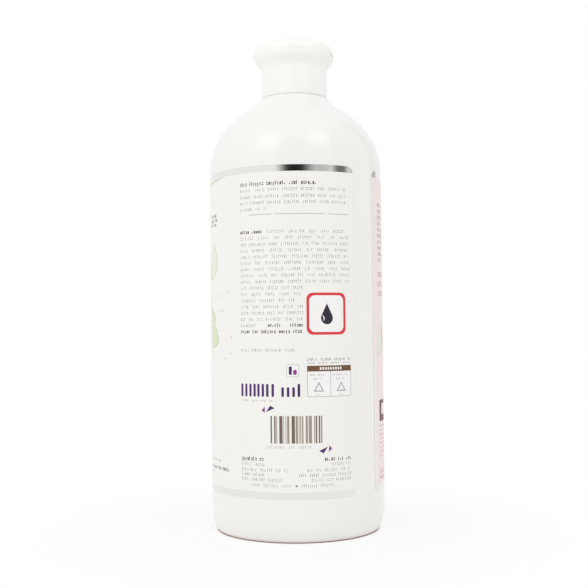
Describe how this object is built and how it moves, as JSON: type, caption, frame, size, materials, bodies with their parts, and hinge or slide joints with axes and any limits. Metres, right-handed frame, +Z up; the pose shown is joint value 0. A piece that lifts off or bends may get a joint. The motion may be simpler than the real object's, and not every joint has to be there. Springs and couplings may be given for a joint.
{
  "type": "marble cleaner bottle",
  "caption": "Round white household cleaner bottle with a domed shoulder, wrap-around film label and screw-on flip-top cap; stands upright, pours through a nozzle.",
  "frame": {"origin": "middle of the foot, on the surface that the bottle stands on", "axes": "+Z up along the bottle's axis, +X towards the lid's thumb scoop, the lid's hinge at -X"},
  "size_m": [0.085, 0.085, 0.241],
  "materials": {
    "bottle_plastic": "satin",
    "cap_plastic": "satin",
    "label_film": "satin",
    "gasket": "matte",
    "liquid": "gloss"
  },
  "bodies": {
    "bottle_body": {"bottle": "bottle_plastic", "cleaner_liquid": "liquid", "wrap_label": "label_film"},
    "seal": {"seal_ring": "gasket"},
    "cap": {"cap_base": "cap_plastic"},
    "lid": {"flip_lid": "cap_plastic"}
  },
  "joints": [
    {"name": "cap_lift", "type": "slide", "parent": "bottle_body", "child": "seal", "axis": [0, 0, 1], "range_m": [0, 0.00529]},
    {"name": "cap_turn", "type": "hinge", "parent": "seal", "child": "cap", "pos_m": [0, 0, 0.2115], "axis": [0, 0, 1], "range_deg": [0, 450]},
    {"name": "lid_flip", "type": "hinge", "parent": "cap", "child": "lid", "pos_m": [-0.0199, 0, 0.233], "axis": [0, -1, 0], "range_deg": [0, 150]}
  ],
  "couplings": [
    {"joint": "cap_lift", "follows": "cap_turn", "m_per_rad": 0.00067322}
  ]
}
